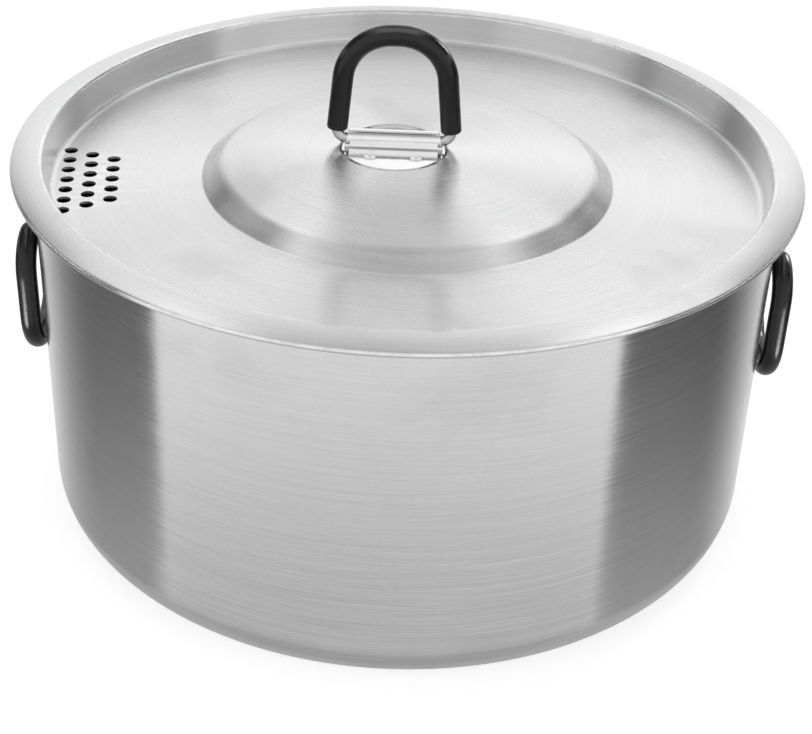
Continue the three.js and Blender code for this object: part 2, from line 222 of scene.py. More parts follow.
class HandleSizes(bpy.types.PropertyGroup):
    """Wires, sleeves and clips of the three handles."""

    wire_diameter: length("Wire Diameter", "Of all three handles", 3)
    wire_end_gap: length("Wire End Gap", "Between the two ends inside a clip", 0.6)
    wire_chamfer: length("Wire Chamfer", "On the cut ends", 0.3)
    sleeve_diameter: length("Sleeve Diameter", "Outside", 5.7)
    sleeve_clearance: length("Sleeve Clearance", "Between sleeve and wire", 0.3)
    sleeve_lip: length("Sleeve Lip", "Rounding of the cut ends", 0.5)
    clip_sheet: length("Clip Sheet", "Thickness of the clips", 0.7)
    clip_clearance: length("Clip Clearance", "Between wire and clip", 0.3)
    clip_seat_gap: length("Clip Seat Gap", "Between clip and sheet", 0.3)
    clip_bend: length("Clip Bend", "Bend between flange and hump", 0.8)
    dent_diameter: length("Weld Dent Diameter", "Of a spot weld", 3)
    dent_depth: length("Weld Dent Depth", "Of a spot weld", 0.35)
    lid_height: length("Lid Handle Height", "From the pivot to the arch", 29.6)
    lid_span: length("Lid Handle Span", "Between the feet of the loop", 31.5)
    lid_lean: angle("Lid Handle Lean", "Of the legs, inwards", 5.5)
    lid_elbow: length("Lid Handle Elbow", "Bend above the pivot", 2.5)
    lid_arch: length("Lid Handle Arch", "Bend at the top", 13.2)
    lid_sleeve_foot: length("Lid Sleeve Foot", "Lower end of the sleeve above the pivot", 2.7)
    lid_pivot_back: length("Lid Pivot Back", "The pivot behind the recess's centre", 1.5)
    lid_flange_width: length("Lid Clip Flange Width", "Along the pivot", 24)
    lid_hump_foot: length("Lid Clip Hump Foot", "Width of the hump at its foot", 27.6)
    lid_hump_top: length("Lid Clip Hump Top", "Width of the hump at its top", 24.2)
    lid_rear_flange: length("Lid Clip Rear Flange", "Behind the hump", 3)
    lid_edge_gap: length("Lid Clip Edge Gap", "From the clip to the recess wall", 0.3)
    lid_dent_spacing: length("Lid Weld Spacing", "Between the two welds", 12.4)
    lid_dent_offset: length("Lid Weld Offset", "From the pivot to the welds", 8.5)
    side_drop: length("Side Handle Drop", "From the pivot to the grip", 34)
    side_span: length("Side Handle Span", "Between the legs of the loop", 31)
    side_shoulder: length("Side Handle Shoulder", "Bend beside the clip", 9)
    side_corner: length("Side Handle Corner", "Bend at the grip", 11.5)
    side_clip_width: length("Side Clip Width", "Along the pivot", 11)
    side_flange: length("Side Clip Flange", "Above and below the hump", 6.5)
    side_end_gap: length("Side Clip End Gap", "From the clip to the sleeve", 0.5)
    side_dent_spacing: length("Side Weld Spacing", "Between two welds of a flange", 5.6)


class Finishes(bpy.types.PropertyGroup):
    """Colours and shine."""

    pot_steel: colour("Pot Steel", "Brushed sheet of the pot", (0.70, 0.70, 0.705))
    lid_steel: colour("Lid Steel", "Brushed sheet of the lid", (0.848, 0.848, 0.853))
    clip_steel: colour("Clip Steel", "Smooth sheet of the clips", (0.92, 0.92, 0.92))
    wire_steel: colour("Wire Steel", "Drawn wire", (0.66, 0.66, 0.67))
    sleeve: colour("Sleeve", "Black plastic tube", (0.006, 0.006, 0.0065))
    pot_roughness: share("Pot Roughness", "Across the brushing", 0.13)
    lid_roughness: share("Lid Roughness", "Across the brushing", 0.27)
    clip_roughness: share("Clip Roughness", "Of the smooth sheet", 0.07)
    wire_roughness: share("Wire Roughness", "Of the drawn wire", 0.22)
    sleeve_roughness: share("Sleeve Roughness", "Of the plastic", 0.2)
    brushing: share("Brushing", "How far the brushing stretches reflections", 1.0)


class StageSettings(bpy.types.PropertyGroup):
    """Floor, light and camera."""

    floor: colour("Floor", "Pale studio floor", (0.93, 0.93, 0.93))
    camera_distance: length("Camera Distance", "From the pot's axis", 419.35)
    camera_height: length("Camera Height", "Above the floor", 300.36)
    camera_azimuth: angle("Camera Azimuth", "Round the pot's axis", 0.3)
    camera_pitch: angle("Camera Pitch", "Below the horizon", 32.57)
    camera_yaw: angle("Camera Yaw", "Away from the axis", 0.2)
    camera_roll: angle("Camera Roll", "About the line of sight", 2.19)
    camera_lens: FloatProperty(
        name="Camera Lens", description="Focal length", default=74.88, unit="CAMERA"
    )


class CampingPot(bpy.types.PropertyGroup):
    """Everything that a user would change."""

    pot: PointerProperty(type=PotSizes)
    lid: PointerProperty(type=LidSizes)
    handles: PointerProperty(type=HandleSizes)
    finishes: PointerProperty(type=Finishes)
    stage: PointerProperty(type=StageSettings)


# Flat paths


def bend(x, y, radius=0.0):
    """A point of a bent path: where its straight runs would meet, and the bend there."""
    return Vector((x, y)), radius


def bent_path(bends):
    """Points along straight runs joined by round bends."""
    points = []
    for i, (corner, radius) in enumerate(bends):
        if radius == 0:
            points.append(corner)
            continue
        back = (bends[i - 1][0] - corner).normalized()
        ahead = (bends[i + 1][0] - corner).normalized()
        half = math.acos(back.dot(ahead)) / 2
        start = back * (radius / math.tan(half))
        centre = (back + ahead).normalized() * (radius / math.sin(half))
        turn = -math.copysign(math.pi - 2 * half, back.cross(ahead))
        for step in range(BEND_FACETS + 1):
            spin = Matrix.Rotation(turn * step / BEND_FACETS, 2)
            points.append(corner + centre + spin @ (start - centre))
    return points


def arc(centre, radius, start, end, facets):
    """Points on an arc from one angle to another."""
    angles = [start + (end - start) * step / facets for step in range(facets + 1)]
    return [Vector(centre) + radius * Vector((math.cos(a), math.sin(a))) for a in angles]


def sheet_back(face, thickness):
    """The other face of a sheet, to the right of the shown one."""
    back = []
    last = len(face) - 1
    for i, point in enumerate(face):
        into = (face[max(i, 1)] - face[max(i - 1, 0)]).normalized()
        onward = (face[min(i + 1, last)] - face[min(i, last - 1)]).normalized()
        along = (into + onward).normalized()
        back.append(point + Vector((along.y, -along.x)) * (thickness / along.dot(into)))
    return back


def held(points, margin):
    """The same points and two more near the ends of each long run, to keep it flat when shaded."""
    out = [points[0]]
    for here, there in zip(points, points[1:]):
        run = (there - here).length
        if run > 4 * margin:
            out += [here.lerp(there, margin / run), here.lerp(there, 1 - margin / run)]
        out.append(there)
    return out


def smoothstep(value, low, high):
    t = min(max((value - low) / (high - low), 0), 1)
    return t * t * (3 - 2 * t)


# Meshes


def loft(mesh, rings, ends):
    """Joins rings of points with faces; ends are "open", "capped" or "joined"."""
    rows = [[mesh.verts.new(point) for point in ring] for ring in rings]
    pairs = list(zip(rows, rows[1:]))
    if ends == "joined":
        pairs.append((rows[-1], rows[0]))
    for low, high in pairs:
        for i in range(len(low)):
            mesh.faces.new((low[i - 1], low[i], high[i], high[i - 1]))
    if ends == "capped":
        mesh.faces.new(rows[0])
        mesh.faces.new(rows[-1])


def turned(mesh, face, thickness):
    """A sheet turned about Z; its shown face runs from the axis outwards."""
    face = held(face, HOLD_MARGIN)
    outline = [*sheet_back(face, thickness), *reversed(face)]
    rings = []
    for radius, z in outline[1:-1]:
        spokes = [2 * math.pi * i / TURN_FACETS for i in range(TURN_FACETS)]
        rings.append([Vector((radius * math.cos(a), radius * math.sin(a), z)) for a in spokes])
    loft(mesh, rings, "open")
    mesh.verts.ensure_lookup_table()
    for pole_z, first in ((outline[0].y, 0), (outline[-1].y, len(mesh.verts) - TURN_FACETS)):
        pole = mesh.verts.new((0, 0, pole_z))
        mesh.verts.ensure_lookup_table()
        for i in range(TURN_FACETS):
            mesh.faces.new((pole, mesh.verts[first + i], mesh.verts[first + (i + 1) % TURN_FACETS]))


class Route:
    """A wire's centre line in an upright plane, measured by its length."""

    def __init__(self, points, normal):
        self.points = points
        self.normal = normal
        self.marks = [0.0]
        for here, there in zip(points, points[1:]):
            self.marks.append(self.marks[-1] + (there - here).length)
        self.length = self.marks[-1]

    def at(self, distance):
        distance = min(max(distance, 0), self.length)
        i = next(k for k, mark in enumerate(self.marks[1:]) if mark >= distance)
        part = (distance - self.marks[i]) / (self.marks[i + 1] - self.marks[i])
        return self.points[i].lerp(self.points[i + 1], part)

    def ring(self, distance, radius, facets):
        step = RING_SPACING / 4
        ahead = self.at(distance + step) - self.at(distance - step)
        side = ahead.normalized().cross(self.normal)
        turns = [2 * math.pi * i / facets for i in range(facets)]
        centre = self.at(distance)
        return [centre + radius * (side * math.cos(t) + self.normal * math.sin(t)) for t in turns]

    def stations(self, margin):
        count = round((self.length - 2 * margin) / RING_SPACING)
        return [margin + (self.length - 2 * margin) * i / count for i in range(count + 1)]


def wire_mesh(mesh, route, radius, chamfer):
    rings = [route.ring(0, radius - chamfer, WIRE_FACETS)]
    rings += [route.ring(s, radius, WIRE_FACETS) for s in route.stations(chamfer)]
    rings.append(route.ring(route.length, radius - chamfer, WIRE_FACETS))
    loft(mesh, rings, "capped")


def sleeve_mesh(mesh, route, radius, bore, lip):
    """A tube with rounded cut ends and its bore."""
    quarter = arc((lip, radius - lip), lip, math.pi, math.pi / 2, BEND_FACETS // 2)
    outside = [(s, r) for s, r in quarter[:-1]]
    outside += [(s, radius) for s in route.stations(lip)]
    outside += [(route.length - s, r) for s, r in reversed(quarter[:-1])]
    inside = [(s, bore) for s, _ in reversed(outside)]
    loft(mesh, [route.ring(s, r, SLEEVE_FACETS) for s, r in outside + inside], "joined")


def grid_rim(grid):
    """The points around a grid, in order."""
    right = [row[-1] for row in grid[1:]]
    left = [row[0] for row in reversed(grid[1:-1])]
    return [*grid[0], *right, *reversed(grid[-1][:-1]), *left]


def saddle_mesh(mesh, sizes, face, half_width, dents, place):
    """A pressed strip: a section swept across a width, with round weld dents in its shown face."""
    dent_radius = sizes.dent_diameter / 2
    columns = [2 * j / CLIP_FACETS - 1 for j in range(CLIP_FACETS + 1)]
    shown, hidden = [], []
    for top, under in zip(face, sheet_back(face, sizes.clip_sheet)):
        shown_row, hidden_row = [], []
        for t in columns:
            across = t * half_width(top)
            near = min(math.hypot(across - x, top.x - along) for x, along in dents)
            inside = 1 - smoothstep(near, DENT_FLOOR * dent_radius, DENT_RIM * dent_radius)
            shown_row.append(mesh.verts.new(place(across, top.x, top.y - sizes.dent_depth * inside)))
            hidden_row.append(mesh.verts.new(place(across, under.x, under.y)))
        shown.append(shown_row)
        hidden.append(hidden_row)
    for grid in (shown, hidden):
        for low, high in zip(grid, grid[1:]):
            for j in range(CLIP_FACETS):
                mesh.faces.new((low[j], low[j + 1], high[j + 1], high[j]))
    upper, lower = grid_rim(shown), grid_rim(hidden)
    for j in range(len(upper)):
        mesh.faces.new((upper[j - 1], upper[j], lower[j], lower[j - 1]))


def hump_radius(sizes):
    """Outside of a clip's hump, round the wire."""
    return sizes.wire_diameter / 2 + sizes.clip_clearance + sizes.clip_sheet


def hat_section(sizes, front, rear, axis_height):
    """The shown face of a clip: a flange, a round hump over the wire and another flange."""
    hump = hump_radius(sizes)
    sheet = sizes.clip_sheet
    left = bent_path([
        bend(-hump - front, sheet),
        bend(-hump, sheet, sizes.clip_bend),
        bend(-hump, axis_height),
    ])
    right = bent_path([
        bend(hump, axis_height),
        bend(hump, sheet, sizes.clip_bend),
        bend(hump + rear, sheet),
    ])
    front_flange = [left[0].lerp(left[1], i / FLANGE_ROWS) for i in range(FLANGE_ROWS)]
    rear_flange = [right[-2].lerp(right[-1], (i + 1) / FLANGE_ROWS) for i in range(FLANGE_ROWS)]
    over = arc((0, axis_height), hump, math.pi, 0, 2 * BEND_FACETS)[1:-1]
    return [*front_flange, *left[1:], *over, *right[:-1], *rear_flange]


def add_piece(name, shape, settings, finish, body, node):
    """Makes a mesh object from a function that fills a bmesh and puts it in a CAD node's place."""
    mesh = bmesh.new()
    shape(mesh)
    bmesh.ops.recalc_face_normals(mesh, faces=mesh.faces)
    data = bpy.data.meshes.new(name)
    mesh.to_mesh(data)
    mesh.free()
    piece = bpy.data.objects.new(name, data)
    bpy.context.scene.collection.objects.link(piece)
    data.materials.append(material_for(finish, settings))
    smooth(data)
    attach(piece, body)
    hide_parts(node)
    return piece


def smooth(data):
    """Shades a finished mesh smooth and marks how sharply it bends outwards, for wear along edges."""
    data.shade_smooth()
    data.set_sharp_from_angle(angle=SHARP_EDGE)
    mesh = bmesh.new()
    mesh.from_mesh(data)
    bends = [0.0] * len(mesh.verts)
    for edge in mesh.edges:
        apart = (edge.link_faces[0].calc_center_median() - edge.link_faces[1].calc_center_median()).length
        bending = edge.calc_face_angle_signed(0) / max(apart, SMALLEST_FACET)
        for vertex in edge.verts:
            bends[vertex.index] = max(bends[vertex.index], bending)
    mesh.free()
    marks = data.attributes.get("edge_bend") or data.attributes.new("edge_bend", "FLOAT", "POINT")
    marks.data.foreach_set("value", [bending * MM for bending in bends])


def settle(piece, modifier):
    """Turns a piece's modifier into plain mesh."""
    evaluated = piece.evaluated_get(bpy.context.evaluated_depsgraph_get())
    old = piece.data
    piece.data = bpy.data.meshes.new_from_object(evaluated)
    piece.modifiers.remove(modifier)
    bpy.data.meshes.remove(old)
    smooth(piece.data)


# Node trees


class Field:
    """A number in a node tree, so that node sums read as plain arithmetic."""

    def __init__(self, tree, socket):
        self.tree = tree
        self.socket = socket

    def math(self, operation, *others):
        node = self.tree.nodes.new("ShaderNodeMath")
        node.operation = operation
        for socket, value in zip(node.inputs, (self, *others)):
            plug(self.tree, value, socket)
        return Field(self.tree, node.outputs[0])

    def __add__(self, other):
        return self.math("ADD", other)

    def __sub__(self, other):
        return self.math("SUBTRACT", other)

    def __mul__(self, other):
        return self.math("MULTIPLY", other)

    def __truediv__(self, other):
        return self.math("DIVIDE", other)

    def rise(self, low, high):
        """0 below low, 1 above high and smooth between."""
        node = self.tree.nodes.new("ShaderNodeMapRange")
        node.interpolation_type = "SMOOTHSTEP"
        for name, value in (("Value", self), ("From Min", low), ("From Max", high)):
            plug(self.tree, value, node.inputs[name])
        return Field(self.tree, node.outputs[0])

    def band(self, low, high, soft):
        """1 between low and high, 0 outside, with soft edges."""
        return self.rise(low - soft, low + soft) - self.rise(high - soft, high + soft)

    def rest(self):
        """What is missing to 1."""
        return self * -1.0 + 1.0


def plug(tree, value, socket):
    """Links a field or an output to a socket, or sets the socket to a plain value."""
    if isinstance(value, Field):
        tree.links.new(value.socket, socket)
    elif hasattr(value, "is_output"):
        tree.links.new(value, socket)
    else:
        socket.default_value = value


def fill_inputs(tree, node, values):
    """Fills a node's inputs by name; spaces in the names are written as underscores."""
    for name, value in values.items():
        plug(tree, value, node.inputs[name.replace("_", " ")])


def add_node(tree, kind, **values):
    node = tree.nodes.new(kind)
    fill_inputs(tree, node, values)
    return node


def marked(start, *marks):
    """A number that marks change: each is a field and how far it moves the number."""
    first, weight = marks[0]
    total = first * weight + start
    for field, weight in marks[1:]:
        total = total + field * weight
    return total


def floats(*names):
    """Sockets for plain numbers."""
    return dict.fromkeys(names, "NodeSocketFloat")


def new_group(name, kind, inputs, outputs):
    """An empty node group, its inputs as fields by name and its output node."""
    tree = bpy.data.node_groups.new(name, kind)
    for direction, sockets in (("INPUT", inputs), ("OUTPUT", outputs)):
        for label, socket_type in sockets.items():
            tree.interface.new_socket(label, in_out=direction, socket_type=socket_type)
    entry = tree.nodes.new("NodeGroupInput")
    leave = tree.nodes.new("NodeGroupOutput")
    return tree, {label: Field(tree, entry.outputs[label]) for label in inputs}, leave


def group_node(tree, name, build, **values):
    """A node of a shared group, which is built once, with its outputs as fields by name."""
    node = tree.nodes.new("ShaderNodeGroup")
    node.node_tree = bpy.data.node_groups.get(name) or build(name)
    fill_inputs(tree, node, values)
    return {output.name: Field(tree, output) for output in node.outputs}


def object_place(tree):
    return tree.nodes.new("ShaderNodeTexCoord").outputs["Object"]


def axes_of(tree, vector):
    """The parts of a vector along X, Y and Z."""
    split = add_node(tree, "ShaderNodeSeparateXYZ", Vector=vector)
    return [Field(tree, axis) for axis in split.outputs]


def noise(tree, vector, scale, detail, roughness):
    node = add_node(
        tree, "ShaderNodeTexNoise", Vector=vector, Scale=scale, Detail=detail, Roughness=roughness
    )
    return Field(tree, node.outputs["Fac"])


def ring_brushing_group(name):
    """Fine lines around the Z axis, broken into dashes, and broader bands of them."""
    tree, inputs, leave = new_group(
        name, "ShaderNodeTree", floats("Line Pitch", "Dashes"), floats("Lines", "Bands")
    )
    x, y, z = axes_of(tree, object_place(tree))
    radius = (x * x + y * y).math("SQRT")
    run = (radius + z) / inputs["Line Pitch"]
    reach = inputs["Dashes"] / radius.math("MAXIMUM", MM)
    fine = add_node(tree, "ShaderNodeCombineXYZ", X=run, Y=x * reach, Z=y * reach)
    broad = add_node(tree, "ShaderNodeCombineXYZ", X=run * 0.16, Y=x * reach * 0.4, Z=y * reach * 0.4)
    lines = noise(tree, fine.outputs[0], 1, detail=2, roughness=0.65)
    bands = noise(tree, broad.outputs[0], 1, detail=1, roughness=0.5)
    plug(tree, lines, leave.inputs["Lines"])
    plug(tree, bands, leave.inputs["Bands"])
    return tree


def handling_group(name):
    """Faint hand marks and hairline scratches."""
    tree, inputs, leave = new_group(
        name, "ShaderNodeTree", floats("Mark Size"), floats("Smudges", "Scratches")
    )
    place = object_place(tree)
    cloud = noise(tree, place, inputs["Mark Size"].math("POWER", -1.0), detail=3, roughness=0.55)
    plug(tree, cloud.rise(0.5, 0.72), leave.inputs["Smudges"])
    turned_place = add_node(
        tree, "ShaderNodeMapping", Vector=place, Rotation=SCRATCH_TURN, Scale=SCRATCH_SCALE
    )
    hair = noise(tree, turned_place.outputs[0], 1, detail=1, roughness=0.4)
    plug(tree, hair.rise(0.74, 0.8), leave.inputs["Scratches"])
    return tree


def hand_marks(tree, size):
    marks = group_node(tree, "handling_marks", handling_group, Mark_Size=size)
    return marks["Smudges"], marks["Scratches"]


def edge_wear(tree, place, low, high):
    """Where an outward bend is tight enough to rub, broken up; low and high in turns per millimetre."""
    node = tree.nodes.new("ShaderNodeAttribute")
    node.attribute_name = "edge_bend"
    patches = noise(tree, place, 1 / WEAR_PATCH, detail=3, roughness=0.6)
    return Field(tree, node.outputs["Fac"]).rise(low, high) * patches.rise(0.35, 0.6)


def new_material(name):
    material = bpy.data.materials.new(name)
    material.use_nodes = True
    shader = material.node_tree.nodes["Principled BSDF"]
    return material, material.node_tree, shader


def paint(tree, shader, base, shade, rough, metallic):
    """Gives a shader a colour times a shade, and a roughness."""
    tint = tree.nodes.new("ShaderNodeVectorMath")
    tint.operation = "SCALE"
    tint.inputs[0].default_value = base
    plug(tree, shade, tint.inputs["Scale"])
    plug(tree, tint.outputs[0], shader.inputs["Base Color"])
    plug(tree, rough, shader.inputs["Roughness"])
    shader.inputs["Metallic"].default_value = metallic


def bump(tree, shader, height, depth):
    node = add_node(tree, "ShaderNodeBump", Height=height, Strength=1.0, Distance=depth)
    tree.links.new(node.outputs[0], shader.inputs["Normal"])


def brushed_steel(name, base, roughness, brushing, brush, smooth_and_shaded_spot=None, drawn_wall=None):
    """Sheet brushed around the pot's axis.

    A pressed spot on its X axis is smoother, and has painted shade at its front; a drawn wall is duller.
    """
    pitch, dashes, speckle = brush
    material, tree, shader = new_material(name)
    rings = group_node(tree, "ring_brushing", ring_brushing_group, Line_Pitch=pitch, Dashes=dashes)
    lines, bands = rings["Lines"] - 0.5, rings["Bands"] - 0.5
    smudges, scratches = hand_marks(tree, BRUSHED_MARKS)
    place = object_place(tree)
    x, y, _ = axes_of(tree, place)
    wear = edge_wear(tree, place, 0.35, 0.9)
    grain = noise(tree, place, 1 / BRUSHED_GRAIN, detail=2, roughness=0.7) - 0.5
    shade = marked(1.0, (lines, 0.26), (grain, speckle), (bands, 0.05), (smudges, -0.03), (wear, 0.08))
    rough = marked(roughness, (lines, 0.10), (smudges, 0.04), (wear, -0.06))
    if smooth_and_shaded_spot:
        spot_x, spot_radius = smooth_and_shaded_spot
        from_spot = x - spot_x
        reach = (from_spot * from_spot + y * y).math("SQRT")
        inside = reach.rise(0.97 * spot_radius, spot_radius).rest()
        # Painted shade: the front of the recess, beside the clip's flange, is darkened in the colour
        painted_recess_shade = inside * (y * -1.0).rise(*RECESS_PAINTED_SHADE_FRONT)
        rough = rough - inside * (0.65 * roughness)
        shade = shade - painted_recess_shade * 0.7
    if drawn_wall:
        inner, outer = drawn_wall
        on_wall = (x * x + y * y).math("SQRT").band(inner, outer, WALL_EDGE)
        shade = shade - on_wall * 0.06
        rough = rough + on_wall * 0.04
    paint(tree, shader, base, shade, rough, metallic=1)
    shader.inputs["Anisotropic"].default_value = brushing
    shader.inputs["Anisotropic Rotation"].default_value = BRUSH_TURN
    bump(tree, shader, rings["Lines"] - scratches * 0.6, BRUSH_DEPTH)
    return material


def bright_steel(name, base, roughness, grain):
    """Smooth sheet or drawn wire."""
    material, tree, shader = new_material(name)
    smudges, scratches = hand_marks(tree, BRIGHT_MARKS)
    place = object_place(tree)
    skin = noise(tree, place, 1 / grain, detail=3, roughness=0.6)
    wear = edge_wear(tree, place, 0.9, 2.0)
    shade = marked(1.0, (skin - 0.5, 0.12), (smudges, -0.05), (wear, 0.1))
    rough = marked(roughness, (skin - 0.5, 0.12), (smudges, 0.08), (wear, -0.05))
    paint(tree, shader, base, shade, rough, metallic=1)
    bump(tree, shader, skin - scratches * 0.5, BRIGHT_DEPTH)
    return material


def black_plastic(name, base, roughness):
    """Soft tube with a fine skin and a little dust."""
    material, tree, shader = new_material(name)
    smudges, scratches = hand_marks(tree, SLEEVE_MARKS)
    place = object_place(tree)
    skin = noise(tree, place, 1 / SLEEVE_GRAIN, detail=3, roughness=0.6)
    wear = edge_wear(tree, place, 0.6, 1.6)
    shade = marked(1.0, (skin - 0.5, 0.5), (smudges, 0.5), (scratches, 1.5), (wear, 1.2))
    rough = marked(roughness, (skin - 0.5, 0.2), (smudges, 0.06), (wear, 0.1))
    paint(tree, shader, base, shade, rough, metallic=0)
    shader.inputs["Specular IOR Level"].default_value = SLEEVE_SPECULAR
    bump(tree, shader, skin, SLEEVE_DEPTH)
    return material


def material_for(finish, settings):
    """The material of a finish, made once."""
    look = f"{finish}_look"
    made = bpy.data.materials.get(look)
    if made:
        return made
    colours = settings.finishes
    if finish == "pot_steel":
        return brushed_steel(look, colours.pot_steel, colours.pot_roughness, colours.brushing, POT_BRUSH)
    if finish == "lid_steel":
        shape = LidShape(settings.pot, settings.lid)
        return brushed_steel(
            look, colours.lid_steel, colours.lid_roughness, colours.brushing, LID_BRUSH,
            # The recess is smoother, and its front gets painted shade
            smooth_and_shaded_spot=(settings.lid.recess_shift, settings.lid.recess_radius),
            drawn_wall=(shape.tray_foot_radius, shape.tray_top_radius),
        )
    if finish == "clip_steel":
        return bright_steel(look, colours.clip_steel, colours.clip_roughness, CLIP_GRAIN)
    if finish == "wire_steel":
        return bright_steel(look, colours.wire_steel, colours.wire_roughness, WIRE_GRAIN)
    return black_plastic(look, colours.sleeve, colours.sleeve_roughness)


def strainer_tree():
    """Geometry nodes that punch the rows of strainer holes into the lid."""
    tree, inputs, leave = new_group(
        "strainer_holes",
        "GeometryNodeTree",
        {
            "Geometry": "NodeSocketGeometry",
            **floats("Hole Diameter", "Hole Pitch", "Row Step", "First Row", "Azimuth", "Floor Height"),
            "Finish": "NodeSocketMaterial",
        },
        {"Geometry": "NodeSocketGeometry"},
    )
    rows = tree.nodes.new("GeometryNodeJoinGeometry")
    index = Field(tree, tree.nodes.new("GeometryNodeInputIndex").outputs[0])
    cosine, sine = inputs["Azimuth"].math("COSINE"), inputs["Azimuth"].math("SINE")
    for row, count in enumerate(HOLE_ROWS):
        reach = inputs["First Row"] - inputs["Row Step"] * row
        along = (index - (count - 1) / 2) * inputs["Hole Pitch"]
        place = add_node(
            tree, "ShaderNodeCombineXYZ", X=reach * cosine - along * sine, Y=reach * sine + along * cosine,
            Z=inputs["Floor Height"],
        )
        points = add_node(tree, "GeometryNodePoints", Count=count, Position=place.outputs[0])
        tree.links.new(points.outputs[0], rows.inputs[0])
    punch = add_node(
        tree, "GeometryNodeMeshCylinder", Vertices=HOLE_FACETS, Radius=inputs["Hole Diameter"] / 2.0,
        Depth=inputs["Hole Diameter"],
    )
    punches = add_node(
        tree, "GeometryNodeInstanceOnPoints", Points=rows.outputs[0], Instance=punch.outputs["Mesh"]
    )
    solid_punches = add_node(tree, "GeometryNodeRealizeInstances", Geometry=punches.outputs[0])
    cut = add_node(tree, "GeometryNodeMeshBoolean", Mesh_1=inputs["Geometry"])
    cut.solver = "MANIFOLD"
    tree.links.new(solid_punches.outputs[0], cut.inputs["Mesh 2"])
    real = add_node(tree, "GeometryNodeRealizeInstances", Geometry=cut.outputs["Mesh"])
    finish = add_node(tree, "GeometryNodeSetMaterial", Geometry=real.outputs[0], Material=inputs["Finish"])
    tree.links.new(finish.outputs[0], leave.inputs["Geometry"])
    return tree


def set_inputs(modifier, **values):
    """Sets a geometry nodes modifier's inputs by their names, with underscores for spaces."""
    for item in modifier.node_group.interface.items_tree:
        key = item.name.replace(" ", "_")
        if item.in_out == "INPUT" and key in values:
            modifier[item.identifier] = values[key]


# Shapes that more than one piece needs


class LidShape:
    """Heights and radii of the lid, worked out from its sizes."""

    def __init__(self, pot, lid):
        slope = lid.flange_slope
        inner = pot.inner_diameter / 2
        self.radius = inner + 2 * pot.curl_radius + lid.overhang
        self.tray_top_radius = inner - lid.mouth_gap - lid.sheet
        self.tray_foot_radius = self.tray_top_radius - lid.tray_draft
        self.flange_start = self.tray_top_radius + lid.flange_flat
        flange_end = self.radius - lid.curl_radius * (1 - math.sin(slope))
        self.flange_bend = (flange_end - self.flange_start) / math.sin(slope)
        seat_run = inner + pot.curl_radius - self.flange_start
        seat_drop = self.flange_bend - math.sqrt(self.flange_bend**2 - seat_run**2)
        self.flange_top = pot.height + lid.seat_gap + lid.sheet + seat_drop
        self.tray_floor = self.flange_top - lid.tray_depth
        self.crown = self.tray_floor + lid.dome_height
        self.recess_floor = self.crown - lid.recess_depth
        self.shoulder_radius = lid.dome_radius - lid.shoulder_width
        self.shoulder_top = self.tray_floor + lid.shoulder_height
        self.recess_edge = lid.recess_radius + lid.recess_run / 2
        self.recess_floor_radius = lid.recess_radius - lid.recess_run / 2

    def crown_line(self, lid):
        """The dome's top, an arc that falls from the level ring to the shoulder."""
        start = self.recess_edge + lid.crown_margin
        run = self.shoulder_radius - start
        drop = self.crown - self.shoulder_top
        radius = (run**2 + drop**2) / (2 * drop)
        fall = math.asin(run / radius)
        line = arc((start, self.crown - radius), radius, math.pi / 2, math.pi / 2 - fall, BEND_FACETS)
        return [bend(*point) for point in line[:-1]]


def joint_place(name):
    return next(Vector(joint["pos_m"]) for joint in frame["joints"] if joint["name"] == name)


def mirrored_path(half):
    """A bent path that goes on as its own mirror image."""
    return bent_path([*half, *((Vector((-p.x, p.y)), radius) for p, radius in reversed(half))])


def lid_loop(sizes, start, foot_height):
    """The lid handle's centre line, from a point along its pivot or from a height on its legs."""
    pivot = joint_place("lid_handle_fold")
    foot = sizes.lid_span / 2
    lean = math.tan(sizes.lid_lean)
    arch = foot - sizes.lid_height * lean
    if foot_height:
        ends = [bend(foot - foot_height * lean, foot_height)]
    else:
        ends = [bend(start, 0), bend(foot, 0, sizes.lid_elbow)]
    whole = mirrored_path([*ends, bend(arch, sizes.lid_height, sizes.lid_arch)])
    return Route([pivot + Vector((p.x, 0, p.y)) for p in whole], Vector((0, 1, 0)))


def side_loop(sizes, side, start):
    """A side handle's centre line: it hangs from its pivot in an upright plane."""
    pivot = joint_place(f"{side}_handle_lift")
    span = sizes.side_span / 2
    whole = mirrored_path([
        bend(start, 0),
        bend(span, 0, sizes.side_shoulder),
        bend(span, -sizes.side_drop, sizes.side_corner),
    ])
    return Route([pivot + Vector((0, p.x, p.y)) for p in whole], Vector((1, 0, 0)))


def handle_loops(sizes, start, lid_foot=0.0):
    """Centre lines of the three handles by name, from a point along their pivots."""
    loops = {"lid": lid_loop(sizes, start, lid_foot)}
    for side in SIDES:
        loops[side] = side_loop(sizes, side, start)
    return loops


# Operators


class POT_OT_body(bpy.types.Operator):
    """Build the vessel: base, wall and rolled rim"""

    bl_idname = "camping_pot.body"
    bl_label = "Pot Body"

    def execute(self, context):
        settings = context.scene.camping_pot
        pot = settings.pot
        inner = pot.inner_diameter / 2
        curl_z = pot.height - pot.curl_radius
        face = bent_path([
            bend(0, pot.sheet),
            bend(inner, pot.sheet, pot.corner_radius - pot.sheet),
            bend(inner, curl_z - pot.curl_radius),
        ])
        face += arc((inner + pot.curl_radius, curl_z), pot.curl_radius, math.pi,
                    math.pi - pot.curl_sweep, CURL_FACETS)[1:]
        add_piece(
            "pot_vessel", lambda mesh: turned(mesh, face, pot.sheet),
            settings, "pot_steel", "pot", "pot_body",
        )
        return {"FINISHED"}


